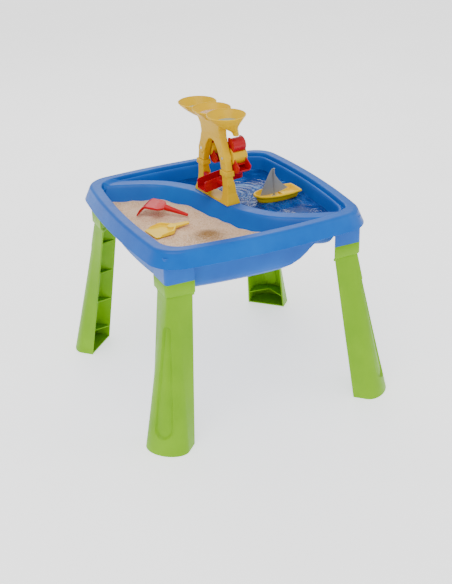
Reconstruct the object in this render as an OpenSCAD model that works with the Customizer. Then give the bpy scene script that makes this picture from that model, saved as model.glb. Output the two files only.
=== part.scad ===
// Sand and water table: a square two-basin tray on four splayed legs, with a
// funnel tower, two water wheels, a sand chute and loose toys.

/* [Table] */
// Width of the tray across the middle of its sides
table_w = 550; // [545:1:555]
// Height of the tray rim above the floor
rim_z = 463; // [455:1:475]
// Depth of the two basins below the rim
basin_depth = 110; // [100:2:116]
// Height of the skirt around the rim
skirt_h = 35.6; // [32:0.4:38]
// Wall thickness of the tray
tray_t = 4; // [3.5:0.1:4.5]
// Width of the dividing wall along its top
divider_w = 35; // [33:1:37]

/* [Legs] */
// How far the foot stands out past the top of the leg
leg_splay = 80; // [74:2:86]
// Width of a leg across its open side at the foot
leg_w = 104; // [98:2:108]
// Width of a leg across its open side under the collar
leg_top_w = 82; // [78:1:83]
// Wall thickness of a leg
leg_t = 4; // [3.6:0.2:4.4]
// Number of stiffening shelves inside a leg
leg_shelves = 4; // [3:1:5]

/* [Tower] */
// Turn of the tower about the vertical
tower_turn = 7; // [6:0.5:8]
// Rim height of the funnels above the dividing wall
funnel_rise = 214; // [212:1:218]
// Rim radius of each funnel
funnel_r = 45; // [43:0.5:46]
// Distance between neighbouring funnels
funnel_gap = 62; // [60:0.5:64]

/* [Water wheels] */
// Distance from the tower's middle to each wheel axle
wheel_u = 46; // [46:0.1:47]
// Height of the axles above the dividing wall
wheel_rise = 108; // [107:0.5:109]
// Reach of the scoops from the axle
wheel_r = 45.3; // [44:0.1:45.5]
// Radius of the axle
axle_r = 3; // [2.8:0.1:3.2]
// Radial clearance of a wheel on its axle
axle_play = 0.06; // [0.04:0.01:0.09]
// Angle of the left wheel's first scoop
left_turn = 200; // [190:5:210]
// Angle of the right wheel's first scoop
right_turn = 205; // [195:5:215]

/* [Sand and toys] */
// Level of the sand below the rim
sand_drop = 42; // [40:1:44]
// Length of the boat
boat_l = 118; // [110:2:120]
// Number of tines on the rake
rake_tines = 5; // [4:1:6]

/* [Hidden] */
$fn = 48;
h0 = table_w / 2;
bulge = 11.6;
deck_z = rim_z - 8;
floor_z = rim_z - basin_depth;
leg_top = rim_z - 105;
post_z = rim_z - 77;
post_x = h0 - 34;
leg_in = 6;
nose0 = (post_x - leg_in) * sqrt(2);
tower_z = deck_z;
axis_z = tower_z + wheel_rise;
rimf_z = tower_z + funnel_rise;
sand_z = rim_z - sand_drop;

blue = [0.23, 0.50, 0.80];
green = [0.60, 0.75, 0.26];
yellow = [0.95, 0.80, 0.18];
red = [0.76, 0.13, 0.18];
sand = [0.85, 0.76, 0.62];
grey = [0.56, 0.57, 0.58];

// ---------- general shapes ----------
// A closed skin through rings of equally many points, given anticlockwise from the lowest up
module loft(rings) {
    n = len(rings[0]);
    m = len(rings);
    polyhedron(
        points = [for (r = rings) each r],
        faces = concat(
            [[for (i = [0:n - 1]) i]],
            [[for (i = [n - 1:-1:0]) (m - 1) * n + i]],
            [for (j = [0:m - 2]) for (i = [0:n - 1]) [j * n + i, (j + 1) * n + i, (j + 1) * n + (i + 1) % n]],
            [for (j = [0:m - 2]) for (i = [0:n - 1]) [j * n + i, (j + 1) * n + (i + 1) % n, j * n + (i + 1) % n]]));
}

// Everything inside becomes one moulding
module moulding() { resize([0, 0, 0]) union() children(); }

function turn2(p, a) = [p[0] * cos(a) - p[1] * sin(a), p[0] * sin(a) + p[1] * cos(a)];

// One side and one corner of a rounded square whose sides bow outwards
function quarter(h, b, r) =
    let (a0 = atan(2 * b / (h - b - r)), c = h - b - r * cos(a0), y0 = c + r * sin(a0))
    concat([for (i = [-3:3]) [h - b * pow(i / 4, 2), y0 * i / 4]],
           [for (i = [0:6]) let (a = a0 + (90 - 2 * a0) * i / 6) [c + r * cos(a), c + r * sin(a)]]);
function square_ring(h, b, r, z) = [for (q = [0:3]) for (p = quarter(h, b, r)) let (t = turn2(p, 90 * q)) [t[0], t[1], z]];

// ---------- dividing wall ----------
// Middle line of the wall on its left half; the other half is the same turned half round
line_half = [[-300, 262], [-258, 244], [-215, 226], [-167, 207], [-120, 186], [-75, 155], [-46, 121], [-21, 78], [-7, 28]];
line = concat(line_half, [for (i = [len(line_half) - 1:-1:0]) -line_half[i]]);
function spline(p0, p1, p2, p3, t) = 0.5 * (2 * p1 + t * (p2 - p0) + t * t * (2 * p0 - 5 * p1 + 4 * p2 - p3) + t * t * t * (3 * p1 - 3 * p2 + p3 - p0));
line_steps = 3;
line_pts = concat([for (i = [1:len(line) - 3]) for (k = [0:line_steps - 1]) spline(line[i - 1], line[i], line[i + 1], line[i + 2], k / line_steps)], [line[len(line) - 2]]);
function unit(v) = v / norm(v);
function line_dir(i) = unit(line_pts[min(i + 1, len(line_pts) - 1)] - line_pts[max(i - 1, 0)]);
// The wall's edge on the sand side, w from the middle line, from left to right
function edge(w) = [for (i = [0:len(line_pts) - 1]) let (d = line_dir(i)) line_pts[i] + w * [d[1], -d[0]]];
// Region on the sand side of the wall
function side_ring(w, z) = concat([[-420, -420, z], [420, -420, z]], [for (i = [len(line_pts) - 1:-1:0]) let (p = edge(w)[i]) [p[0], p[1], z]]);
function mirrored_half(ring) = [for (p = ring) [-p[0], -p[1], p[2]]];

// Half the wall's width at a depth below its top
function wall_w(d) = divider_w / 2 + 0.5 * d;
bd = basin_depth - 8;

// Space of the sand basin: a tapered, rounded square cut by the dividing wall
module sand_space(g = 0) {
    intersection() {
        loft([square_ring(h0 - 66 + g, 10, 38 + g, floor_z - g), square_ring(h0 - 57 + g, 10.5, 47 + g, floor_z + 1.5 - g), square_ring(h0 - 51 + g, 11, 53 + g, floor_z + 8 - g),
              square_ring(h0 - 48 + g, bulge, 56 + g, floor_z + 20 - g), square_ring(h0 - 38.5 + g, bulge, 48 + g, rim_z - 10), square_ring(h0 - 36 + g, bulge, 48 + g, rim_z + 1)]);
        loft([side_ring(wall_w(bd) + 8 - g, floor_z - g - 0.5), side_ring(wall_w(bd) + 1 - g, floor_z + 1.5 - g), side_ring(wall_w(bd) - 7 - g, floor_z + 10 - g),
              side_ring(wall_w(3) - g, deck_z - 3), side_ring(wall_w(0) - 1.2 - g, deck_z + 2.3), side_ring(wall_w(0) - 1.2 - g, rim_z + 2)]);
    }
}
// Space of the water basin, inset by the ledge around it
module water_space(g = 0) {
    intersection() {
        loft([square_ring(h0 - 76 + g, 10, 22 + g, floor_z - g), square_ring(h0 - 67 + g, 10.5, 28 + g, floor_z + 1.5 - g), square_ring(h0 - 61 + g, 11, 33 + g, floor_z + 8 - g),
              square_ring(h0 - 58 + g, bulge, 36 + g, floor_z + 20 - g), square_ring(h0 - 48 + g, bulge, 42 + g, deck_z - 2), square_ring(h0 - 47 + g, bulge, 43 + g, rim_z + 1)]);
        loft([for (r = [side_ring(wall_w(bd) + 8 - g, floor_z - g - 0.5), side_ring(wall_w(bd) + 1 - g, floor_z + 1.5 - g), side_ring(wall_w(bd) - 7 - g, floor_z + 10 - g),
              side_ring(wall_w(3) - g, deck_z - 3), side_ring(wall_w(0) - 1.2 - g, deck_z + 2.3), side_ring(wall_w(0) - 1.2 - g, rim_z + 2)]) mirrored_half(r)]);
    }
}

// ---------- corner posts ----------
// Plan of a post or collar: a corner with two equal sides of length l and ends e deep, closed by a slanting inner wall
module post_plan(x, l, e, r) {
    polygon(concat([[-x + l, -x], [-x + l, -x + e], [-x + e, -x + l], [-x, -x + l]],
                   [for (i = [0:6]) let (a = 180 + 90 * i / 6) [-x + r + r * cos(a), -x + r + r * sin(a)]]));
}
module post_outer() {
    translate([0, 0, post_z]) linear_extrude(rim_z - 14 - post_z) post_plan(post_x, 68, 3, 9);
    translate([0, 0, leg_top + 2]) linear_extrude(post_z - leg_top) post_plan(post_x - 4.4, 55, 0.6, 7);
}
module post_inner() {
    translate([0, 0, leg_top - 1]) linear_extrude(rim_z - 20 - leg_top + 1) post_plan(post_x - 8, 43, 0.4, 5);
}
// Place of a leg's screw: on the diagonal through the middle of the slanting wall, z along the screw, outwards
screw_z = leg_top + 14;
slant = (2 * post_x - 71) / sqrt(2);
module on_screws() { for (q = [0:3]) rotate(45 + 90 * q) translate([slant, 0, screw_z]) rotate([0, 90, 0]) children(); }

module tray() {
    color(blue) difference() {
        moulding() {
            difference() {
                union() {
                    difference() {
                        loft([square_ring(h0, bulge, 71, rim_z - skirt_h), square_ring(h0 - 3.2, bulge, 69, rim_z - 24), square_ring(h0 - 8, bulge, 65, rim_z - 12),
                              square_ring(h0 - 13.2, bulge, 61, rim_z - 5.5), square_ring(h0 - 18.5, bulge, 57, rim_z - 1.6), square_ring(h0 - 26, bulge, 52, rim_z)]);
                        loft([square_ring(h0 - tray_t, bulge, 67, rim_z - skirt_h - 1), square_ring(h0 - 3.2 - tray_t, bulge, 65, rim_z - 24), square_ring(h0 - 9 - tray_t, bulge, 61, rim_z - 12)]);
                        difference() {
                            loft([square_ring(h0 - 9.4 - tray_t, bulge, 60, rim_z - 12.4), square_ring(h0 - 21, bulge, 54, rim_z - 4.5)]);
                            loft([square_ring(h0 - 32, bulge, 47, rim_z - 14), square_ring(h0 - 32, bulge, 47, rim_z)]);
                        }
                    }
                    intersection() { sand_space(tray_t); translate([0, 0, floor_z - 30 + (rim_z - 10 - floor_z + 30) / 2]) cube([700, 700, rim_z - 10 - floor_z + 30], center = true); }
                    intersection() { water_space(tray_t); translate([0, 0, floor_z - 30 + (rim_z - 10 - floor_z + 30) / 2]) cube([700, 700, rim_z - 10 - floor_z + 30], center = true); }
                    for (q = [0:3]) rotate(90 * q) post_outer();
                }
                difference() {
                    loft([square_ring(h0 - 36, bulge, 48, deck_z), square_ring(h0 - 36, bulge, 48, rim_z + 1)]);
                    loft([side_ring(wall_w(0), deck_z - 1), side_ring(wall_w(0), rim_z + 2)]);
                }
                sand_space();
                water_space();
                difference() { for (q = [0:3]) rotate(90 * q) post_inner(); sand_space(tray_t); water_space(tray_t); }
            }
        }
        // sockets for the tower's pegs
        for (s = [-1, 1]) on_tower() translate([s * 52, -1, -6]) cylinder(r = 5.2, h = 10);
        // screw holes in the posts' slanting walls
        on_screws() translate([0, 0, 2]) cylinder(r = 2.15, h = 9);
        // drain hole of the water basin
        translate([150, 60, floor_z - 10]) cylinder(r = 9.05, h = 20);
    }
}

// ---------- legs ----------
// Half profile of a leg's section: a square corner at the top (t = 0), a smooth U at the foot (t = 1)
function mix(a, b, t) = a + (b - a) * t;
function soft(t) = t * t * (3 - 2 * t);
function corner_d(u) = (sqrt(u * u + 0.006) - 0.0775) / 0.9255;
function u_d(u) = abs(u) < 0.55 ? 0.53 * (1 - cos(abs(u) / 0.55 * 90)) : 0.53 + 0.47 * (abs(u) - 0.55) / 0.45;
function u_w(u) = abs(u) < 0.55 ? sign(u) * sin(abs(u) / 0.55 * 90) : sign(u);
leg_n = 18;
function leg_line(t, g) = let (s = soft(min(1, 1.25 * t)), dd = mix(leg_top_w / 2, 66, t), hw = mix(leg_top_w, leg_w, t) / 2)
    [for (i = [-leg_n / 2:leg_n / 2]) let (u = i / (leg_n / 2)) [mix(nose0, nose0 + leg_splay, t) - g - (dd - g) * mix(corner_d(u), u_d(u), s), (hw - g) * mix(u, u_w(u), s)]];
function normals(p) = [for (i = [0:len(p) - 1]) let (d = unit(p[min(i + 1, len(p) - 1)] - p[max(i - 1, 0)])) [-d[1], d[0]]];
function leg_wall(t) = let (p = leg_line(t, 0), n = normals(p)) concat(p, [for (i = [len(p) - 1:-1:0]) p[i] + leg_t * n[i]]);
function leg_z(t) = leg_top * (1 - t);
module leg_skin() { loft([for (k = [9:-1:0]) [for (p = leg_wall(k / 9)) [p[0], p[1], leg_z(k / 9)]]]); }
module leg_solid(g) { loft([for (k = [9:-1:0]) [for (p = leg_line(k / 9, g)) [p[0], p[1], leg_z(k / 9)]]]); }

// A shelf whose free edge is drawn back to a point in the middle
module shelf(z) {
    t = 1 - z / leg_top;
    translate([0, 0, z]) linear_extrude(3) polygon([[mix(308, 385, t), 0], [mix(295, 348, t), 52], [330, 100], [600, 100], [600, -100], [330, -100], [mix(295, 348, t), -52]]);
}

// Plug that cuts the recess, grown by g
module recess_plug(g) {
    hull() {
        translate([nose0 + leg_splay * 0.2, 0, leg_top * 0.79]) rotate([0, 90, 0]) cylinder(r = 9 + g, h = 60, center = true, $fn = 24);
        translate([nose0 + leg_splay * 0.88, 0, leg_top * 0.17]) rotate([0, 90, 0]) cylinder(r = 21 + g, h = 60, center = true, $fn = 24);
    }
}
module leg(a) {
    color(green) rotate(a) difference() {
    moulding() {
        difference() {
            leg_skin();
            // long tapered recess down the nose
            difference() { recess_plug(0); leg_solid(3); }
        }
        // the recess stands out as a raised panel inside
        difference() { intersection() { recess_plug(3.5); leg_solid(3.2); } leg_solid(7); }
        // shelves across the inside
        intersection() {
            leg_solid(1);
            union() {
                for (k = [0:leg_shelves - 1]) shelf(33 + k * (leg_top - 99) / (leg_shelves - 1));
                translate([0, -100, -1]) cube([600, 200, 4.4]);
            }
        }
        // collar that takes the post
        rotate(-45 + 180 - 90) rotate(90) difference() {
            translate([0, 0, leg_top - 4]) linear_extrude(post_z - leg_top + 4) post_plan(post_x, 68, 3, 9);
            translate([0, 0, leg_top]) linear_extrude(60) post_plan(post_x - 4.1, 56, 1, 7.2);
            translate([0, 0, leg_top - 20]) linear_extrude(60) post_plan(post_x - 10.5, 42, 0.4, 5);
        }
    }
    // screw hole in the collar's slanting wall
    translate([slant - 1, 0, screw_z]) rotate([0, 90, 0]) cylinder(r = 2.15, h = 6.5);
    }
}
module leg_front() { leg(225); }
module leg_right() { leg(315); }
module leg_back() { leg(45); }
module leg_left() { leg(135); }

// Screws that lock each leg to its post
module leg_screws() {
    color(grey) on_screws() { translate([0, 0, -2.6]) cylinder(r1 = 2.6, r2 = 4.2, h = 2.4); translate([0, 0, -1]) cylinder(r = 2, h = 10.5); }
}

// ---------- tower ----------
module on_tower() { translate([3, 16, tower_z]) rotate(tower_turn - 90) children(); }

// Outline of the frame seen from the wheels' side, from the base up to the arch
frame_out = [[-72, 0], [72, 0], [71, 7], [66, 26], [63, 80], [61, 92], [58, 108], [49, 134], [42, 156], [41, 172], [47, 186], [58, 202], [60, 208], [-60, 208], [-58, 202], [-47, 186], [-41, 172], [-42, 156], [-49, 134], [-58, 108], [-61, 92], [-63, 80], [-66, 26], [-71, 7]];
window = [[-44, 10], [-36, 5], [36, 5], [44, 10], [43, 30], [42, 52], [39, 76], [34, 100], [24, 124], [12, 139], [0, 143], [-12, 139], [-24, 124], [-34, 100], [-39, 76], [-42, 52], [-43, 30]];
// Profile across the tower
frame_side = [[-19, 0], [17, 0], [16, 6], [11, 28], [9, 46], [4, 62], [4, 172], [12, 208], [-28, 208], [-19, 184], [-13, 150], [-12, 60], [-12, 40], [-14, 22], [-18, 6]];

module frame_body() {
    intersection() {
        difference() {
            rotate([90, 0, 0]) translate([0, 0, -40]) linear_extrude(80) polygon(frame_out);
            rotate([90, 0, 0]) translate([0, 0, -41]) linear_extrude(82) polygon(window);
        }
        rotate([90, 0, 90]) translate([0, 0, -90]) linear_extrude(180) polygon(frame_side);
    }
}

module tower_base() {
    color(yellow) on_tower() difference() {
        union() {
            intersection() { frame_body(); translate([-100, -60, 0]) cube([200, 120, 79.2]); }
            for (s = [-1, 1]) translate([s * 52, -1, -7]) cylinder(r = 5, h = 8);
            // stop collar around each socket
            for (s = [-1, 1]) translate([s > 0 ? 37 : -66, -15, 67]) cube([29, 22, 12.2]);
        }
        // sockets for the upper frame's tenons
        for (s = [-1, 1]) translate([s * 51, -4, 64]) translate([-6.1, -5.6, 0]) cube([12.2, 11.2, 20]);
        // hole for the chute's retaining pin
        translate([48, -7, 45]) rotate([0, 90, 0]) cylinder(r = 2, h = 40, center = true);
    }
}

// Bowl with its spout drawn to one side, g in from its outer skin
function disc(r, y, z) = [for (i = [0:31]) [r * cos(i * 11.25), y + r * sin(i * 11.25), z]];
module bowl(g, sv) {
    loft([disc(7 - g, sv, -54 - (g > 0 ? 2 : 0)), disc(7.6 - g, sv * 0.96, -48), disc(9 - g, sv * 0.86, -43), disc(12.5 - g, sv * 0.66, -38),
          disc(19 - g, sv * 0.4, -30), disc(26.5 - g, sv * 0.22, -22), disc(34 - g, sv * 0.1, -14), disc(41.5 - g, sv * 0.02, -5), disc(funnel_r - 0.6 - g, 0, -1.5), disc(funnel_r - g, 0, 0), disc(funnel_r - g, 0, 0.9 + g)]);
}
module tower_top() {
    color(yellow) on_tower() difference() {
        union() {
            moulding() difference() {
                union() {
                    intersection() { frame_body(); translate([-100, -60, 79.3]) cube([200, 120, 100]); }
                    for (k = [-1:1]) translate([k * funnel_gap - 2, -8, funnel_rise]) bowl(0, k == 0 ? 34 : 25);
                }
                for (k = [-1:1]) difference() {
                    translate([k * funnel_gap - 2, -8, funnel_rise]) bowl(2.2, k == 0 ? 34 : 25);
                    if (k < 1) translate([(k + 1) * funnel_gap - 2, -8, funnel_rise]) bowl(0, k + 1 == 0 ? 34 : 25);
                }
            }
            for (s = [-1, 1]) translate([s * wheel_u, 5.6, wheel_rise]) rotate([90, 0, 0]) cylinder(r = 12, h = 19);
            for (s = [-1, 1]) translate([s * 51, -4, 65]) translate([-6, -5.5, 0]) cube([12, 11, 20]);
        }
        for (s = [-1, 1]) translate([s * wheel_u, 30, wheel_rise]) rotate([90, 0, 0]) cylinder(r = axle_r, h = 44);
    }
}

// ---------- sand chute ----------
// Side view of the chute's floor line from the catch cup down to the lip
chute_z = 22;
module chute() {
    color(red) on_tower() difference() { chute_body(); translate([48, -7, 45]) rotate([0, 90, 0]) cylinder(r = 2, h = 26, center = true); }
}
module chute_body() {
    moulding() {
        difference() {
            rotate([90, 0, 90]) translate([0, 0, -17]) linear_extrude(34)
                polygon([[-44, chute_z + 2], [-44, chute_z + 25], [-38, chute_z + 27], [26, chute_z + 35], [66, chute_z + 35], [66, chute_z + 20], [60, chute_z + 15], [28, chute_z + 14], [0, chute_z + 5], [-40, chute_z]]);
            rotate([90, 0, 90]) translate([0, 0, -14.6]) linear_extrude(29.2)
                polygon([[-50, chute_z + 4.5], [-38, chute_z + 4.5], [0, chute_z + 9.5], [28, chute_z + 18], [58, chute_z + 18.5], [63.4, chute_z + 24], [63.4, chute_z + 40], [-50, chute_z + 40]]);
            // rounded corners of the catch cup
            for (s = [-1, 1]) translate([s * 17, 66, chute_z]) difference() {
                translate([-12, -12, -5]) cube([24, 24, 60]);
                translate([-s * 12, -12, -6]) cylinder(r = 12, h = 62, $fn = 36);
                translate([s > 0 ? -24 : 12, -24, -7]) cube([12, 48, 64]);
                translate([-24, -24, -7]) cube([48, 12, 64]);
            }
        }
        // rounded inner corners
        for (s = [-1, 1]) intersection() {
            translate([s * 5, 54, chute_z + 16]) difference() {
                cylinder(r = 12, h = 19, $fn = 36);
                translate([0, 0, -1]) cylinder(r = 9.6, h = 21, $fn = 36);
            }
            translate([s > 0 ? 5 : -17, 54, chute_z]) cube([12, 12, 40]);
        }
        // side lugs that hook on the frame
        for (s = [-1, 1]) translate([s > 0 ? 16.5 : -41.2, -12, chute_z + 18]) cube([24.7, 10, 10]);
    }
}
// Pin through the lug and the frame
module chute_pin() {
    color(yellow) on_tower() translate([67, -7, 45]) rotate([0, -90, 0]) { cylinder(r = 1.9, h = 30); cylinder(r = 3.2, h = 1.5); }
}

// ---------- water wheels ----------
module on_axle(s) { on_tower() translate([s * wheel_u, 0, wheel_rise]) rotate([-90, 0, 0]) children(); }
module axle(s) { color(grey) on_axle(s) { translate([0, 0, -13.5]) cylinder(r = axle_r, h = 47.5); translate([0, 0, 31.5]) cylinder(r = 5.6, h = 2.5); } }
module axle_left() { axle(-1); }
module axle_right() { axle(1); }

module hub(s) {
    color(yellow) on_axle(s) difference() {
        union() {
            difference() { translate([0, 0, 6.6]) cylinder(r = 20, h = 33.4); translate([0, 0, 9.2]) cylinder(r = 17.6, h = 40); }
            translate([0, 0, 6.6]) cylinder(r = 7.5, h = 24.4);
            for (i = [0:5]) rotate(60 * i) translate([6, -1, 7]) cube([12.6, 2, 20]);
        }
        translate([0, 0, 5]) cylinder(r = axle_r + axle_play, h = 40);
    }
}
module hub_left() { hub(-1); }
module hub_right() { hub(1); }

// Domed cap that snaps into the hub's open end
module hub_cap(s) {
    color(yellow) on_axle(s) {
        difference() {
            translate([0, 0, 40]) rotate_extrude() polygon(concat([[0, 0], [20, 0]], [for (i = [0:8]) [5 + 15 * cos(i * 11.25), 7 * sin(i * 11.25)]], [[0, 7]]));
            translate([0, 0, 39]) rotate_extrude() polygon(concat([[0, 0], [15.2, 0], [15.2, 1.5]], [for (i = [1:6]) [3 + 12.2 * cos(i * 15), 1.5 + 4.4 * sin(i * 15)]], [[0, 5.9]]));
        }
        difference() { translate([0, 0, 35.5]) cylinder(r = 17.5, h = 5.5); translate([0, 0, 34.5]) cylinder(r = 15.2, h = 8); }
    }
}
module hub_cap_left() { hub_cap(-1); }
module hub_cap_right() { hub_cap(1); }

// Three scoops: open troughs with closed ends, each on a saddle that fits the hub
scoop_r = 18.5;
module scoops(s, a) {
    color(red) on_axle(s) for (k = [0:2]) rotate(-a + 120 * k) difference() {
        union() {
            difference() {
                translate([wheel_r - scoop_r, 0, 7.2]) cylinder(r = scoop_r, h = 32.6);
                translate([wheel_r - scoop_r, 0, 9.4]) cylinder(r = scoop_r - 2.2, h = 28.2);
                // mouth
                translate([wheel_r - 60, -66, 6]) cube([120, 56, 40]);
                translate([wheel_r - scoop_r - 6, -30, 9.4]) cube([40, 30, 28.2]);
            }
            translate([19, 4, 7.2]) cube([6, 3, 32.6]);
        }
        translate([0, 0, 6]) cylinder(r = 20.02, h = 40);
    }
}
module scoops_left() { scoops(-1, left_turn); }
module scoops_right() { scoops(1, right_turn); }

// ---------- sand ----------
function ripple(x, y) = 1.0 * sin(x * 1.7 + 40) * cos(y * 1.3) + 0.6 * sin(x * 3.1 - y * 2.3)
    + 15 * exp(-(pow(x + 98, 2) + pow(y + 132, 2)) / 2200) - 2 * exp(-(pow(x + 215, 2) + pow(y - 190, 2)) / 3500);
module sand_fill() {
    nx = 22;
    x0 = -250; x1 = 190; y0 = -250; y1 = 225;
    color(sand) moulding() intersection() {
        sand_space(-0.3);
        loft([for (zz = [0:1]) zz == 0 ? [for (p = [[x0, y0], [x1, y0], [x1, y1], [x0, y1]]) [p[0], p[1], floor_z - 5]] : [for (p = [[x0, y0], [x1, y0], [x1, y1], [x0, y1]]) [p[0], p[1], sand_z + 20]]]);
        sand_top(x0, x1, y0, y1, nx);
    }
}
module sand_top(x0, x1, y0, y1, n) {
    m = n + 1;
    function px(i) = x0 + (x1 - x0) * i / n;
    function py(j) = y0 + (y1 - y0) * j / n;
    top = [for (j = [0:n]) for (i = [0:n]) [px(i), py(j), sand_z + ripple(px(i), py(j))]];
    base = [for (p = [[x0, y0], [x1, y0], [x1, y1], [x0, y1]]) [p[0], p[1], floor_z - 6]];
    k = len(top);
    polyhedron(points = concat(top, base), faces = concat(
        [for (j = [0:n - 1]) for (i = [0:n - 1]) [j * m + i, (j + 1) * m + i, j * m + i + 1]],
        [for (j = [0:n - 1]) for (i = [0:n - 1]) [j * m + i + 1, (j + 1) * m + i, (j + 1) * m + i + 1]],
        [[k, k + 1, k + 2, k + 3]],
        [concat([for (i = [0:n]) i], [k + 1, k])],
        [concat([for (j = [0:n]) j * m + n], [k + 2, k + 1])],
        [concat([for (i = [n:-1:0]) n * m + i], [k + 3, k + 2])],
        [concat([for (j = [n:-1:0]) j * m], [k, k + 3])]));
}

module drain_plug() {
    color([0.15, 0.2, 0.3]) translate([150, 60, floor_z]) { translate([0, 0, -8]) cylinder(r = 9, h = 10); cylinder(r = 14, h = 2.5); translate([0, 0, -6.5]) cylinder(r = 9.6, h = 1.2); }
}

// ---------- toys ----------
function boat_ring(l, b, z) = concat(
    [for (i = [0:5]) let (t = i / 5) [l * (0.5 - 0.62 * t), -b * sqrt(1 - pow(t, 2.6) * 0.35) * (0.86 + 0.14 * sin(t * 90)), z]],
    [for (i = [1:7]) let (a = -67 + 134 * i / 8) [-l * (0.12 + 0.38 * cos(a)), b * 0.82 * sin(a) / sin(67), z]],
    [for (i = [5:-1:0]) let (t = i / 5) [l * (0.5 - 0.62 * t), b * sqrt(1 - pow(t, 2.6) * 0.35) * (0.86 + 0.14 * sin(t * 90)), z]]);
module on_boat() { translate([148, -1, rim_z - 40]) rotate(3) children(); }
function reversed(v) = [for (i = [len(v) - 1:-1:0]) v[i]];
module boat_hull() {
    color(yellow) on_boat() difference() {
        moulding() difference() {
            loft([for (r = [boat_ring(boat_l * 0.80, 19, 0), boat_ring(boat_l * 0.87, 24, 5), boat_ring(boat_l * 0.92, 27, 16), boat_ring(boat_l * 0.995, 31.5, 17.5), boat_ring(boat_l, 32, 20), boat_ring(boat_l * 0.98, 31, 22.5)]) reversed(r)]);
            loft([for (r = [boat_ring(boat_l * 0.76, 21, 10), boat_ring(boat_l * 0.80, 22.5, 14), boat_ring(boat_l * 0.86, 25, 23)]) reversed(r)]);
        }
        translate([-6, 0, 3]) cylinder(r = 3.05, h = 30);
    }
}
module boat_sail() {
    color(grey) on_boat() {
        translate([-6, 0, 3.4]) cylinder(r = 3, h = 78);
        translate([-6, 0, 10.2]) cylinder(r = 7, h = 3);
        moulding() loft([for (k = [0:10]) let (t = k / 10, z = 20 + 58 * t, fx = 2 + 32 * pow(1 - t, 0.8), bx = 2 + 40 * pow(1 - t, 1.5))
            concat([for (i = [0:6]) let (s = i / 6, x = -fx * (1 - s) + bx * s) [-6 + x, -1.1 - 7 * sin(180 * s) * (1 - t * 0.8) + 3, z]],
                   [for (i = [6:-1:0]) let (s = i / 6, x = -fx * (1 - s) + bx * s) [-6 + x, 1.1 - 7 * sin(180 * s) * (1 - t * 0.8) + 3, z]])]);
    }
}

// Rake: a dished head on curved tines with a round tapering handle
module on_rake() { translate([-79, -0.3, sand_z + 3.4]) rotate([0, 0, 137]) rotate([0, -14, 0]) scale(0.85) children(); }
module rake() {
    color(red) on_rake() moulding() {
        hull() { translate([4, 0, 3]) rotate([0, 90, 0]) cylinder(r = 4, h = 2, $fn = 24); translate([70, 0, 3]) rotate([0, 90, 0]) cylinder(r = 8.5, h = 3, $fn = 24); }
        hull() {
            translate([74, 0, 2]) cube([4, 26, 6], center = true);
            for (s = [-1, 1]) translate([88, s * 24, 3]) cylinder(r = 8, h = 5, center = true, $fn = 24);
            for (s = [-1, 1]) translate([116, s * 28, -1]) cylinder(r = 5, h = 5, center = true, $fn = 24);
        }
        for (i = [0:rake_tines - 1]) translate([0, -28 + 56 * i / (rake_tines - 1), 0]) rotate([90, 0, 0]) linear_extrude(6.5, center = true)
            polygon([[112, -3], [118, 2], [126, -3], [134, -15], [140, -35], [136, -35], [129, -16], [120, -6]]);
    }
}

// Shovel: a shallow dished blade with a flat handle
module on_shovel() { translate([-97.5, -41, sand_z + 6.2]) rotate([0, 0, 188]) rotate([0, 0.5, 0]) scale(0.89) children(); }
module shovel() {
    color(yellow) on_shovel() moulding() {
        hull() { translate([6, 0, 2]) cylinder(r = 7, h = 4, center = true, $fn = 24); translate([52, 0, 4]) cylinder(r = 11, h = 6, center = true, $fn = 24); }
        difference() {
            hull() {
                translate([58, 0, 4]) cylinder(r = 18, h = 7, center = true, $fn = 32);
                for (s = [-1, 1]) translate([70, s * 20, 3]) cylinder(r = 14, h = 9, center = true, $fn = 32);
                for (s = [-1, 1]) translate([108, s * 26, 0]) cylinder(r = 6, h = 6, center = true, $fn = 24);
            }
            hull() {
                translate([60, 0, 7]) cylinder(r = 15, h = 8, center = true, $fn = 32);
                for (s = [-1, 1]) translate([72, s * 19, 5]) cylinder(r = 12, h = 8, center = true, $fn = 32);
                for (s = [-1, 1]) translate([122, s * 27, 2]) cylinder(r = 6, h = 5, center = true, $fn = 24);
            }
        }
    }
}

tray();
leg_front();
leg_right();
leg_back();
leg_left();
leg_screws();
tower_base();
tower_top();
chute();
chute_pin();
axle_left();
axle_right();
hub_left();
hub_right();
hub_cap_left();
hub_cap_right();
scoops_left();
scoops_right();
sand_fill();
drain_plug();
boat_hull();
boat_sail();
rake();
shovel();
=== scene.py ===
import math

import bmesh
import bpy
import numpy as np
from mathutils import Matrix, Vector


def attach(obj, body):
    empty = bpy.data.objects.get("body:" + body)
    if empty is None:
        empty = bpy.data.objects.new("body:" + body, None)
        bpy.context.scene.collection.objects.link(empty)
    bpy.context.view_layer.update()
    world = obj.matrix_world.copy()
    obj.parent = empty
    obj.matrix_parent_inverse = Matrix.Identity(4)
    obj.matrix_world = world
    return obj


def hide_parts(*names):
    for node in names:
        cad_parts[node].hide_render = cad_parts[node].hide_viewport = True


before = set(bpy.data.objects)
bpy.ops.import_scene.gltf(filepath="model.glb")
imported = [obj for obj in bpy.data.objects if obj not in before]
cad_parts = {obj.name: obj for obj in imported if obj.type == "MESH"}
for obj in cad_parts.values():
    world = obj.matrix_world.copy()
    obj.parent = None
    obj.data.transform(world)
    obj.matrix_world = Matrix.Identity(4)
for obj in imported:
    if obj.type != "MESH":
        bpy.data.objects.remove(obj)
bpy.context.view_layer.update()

MM = 0.001
H, DECK, FLOOR = 463.0, 455.0, 353.0
rng = np.random.default_rng(7)

# ------------------------------------------------------------------ materials


def srgb(h):
    h = h.lstrip("#")
    v = [int(h[i : i + 2], 16) / 255 for i in (0, 2, 4)]
    return [c / 12.92 if c <= 0.04045 else ((c + 0.055) / 1.055) ** 2.4 for c in v] + [1.0]


def node(nt, kind, **kw):
    n = nt.nodes.new(kind)
    for k, v in kw.items():
        setattr(n, k, v)
    return n


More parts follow.
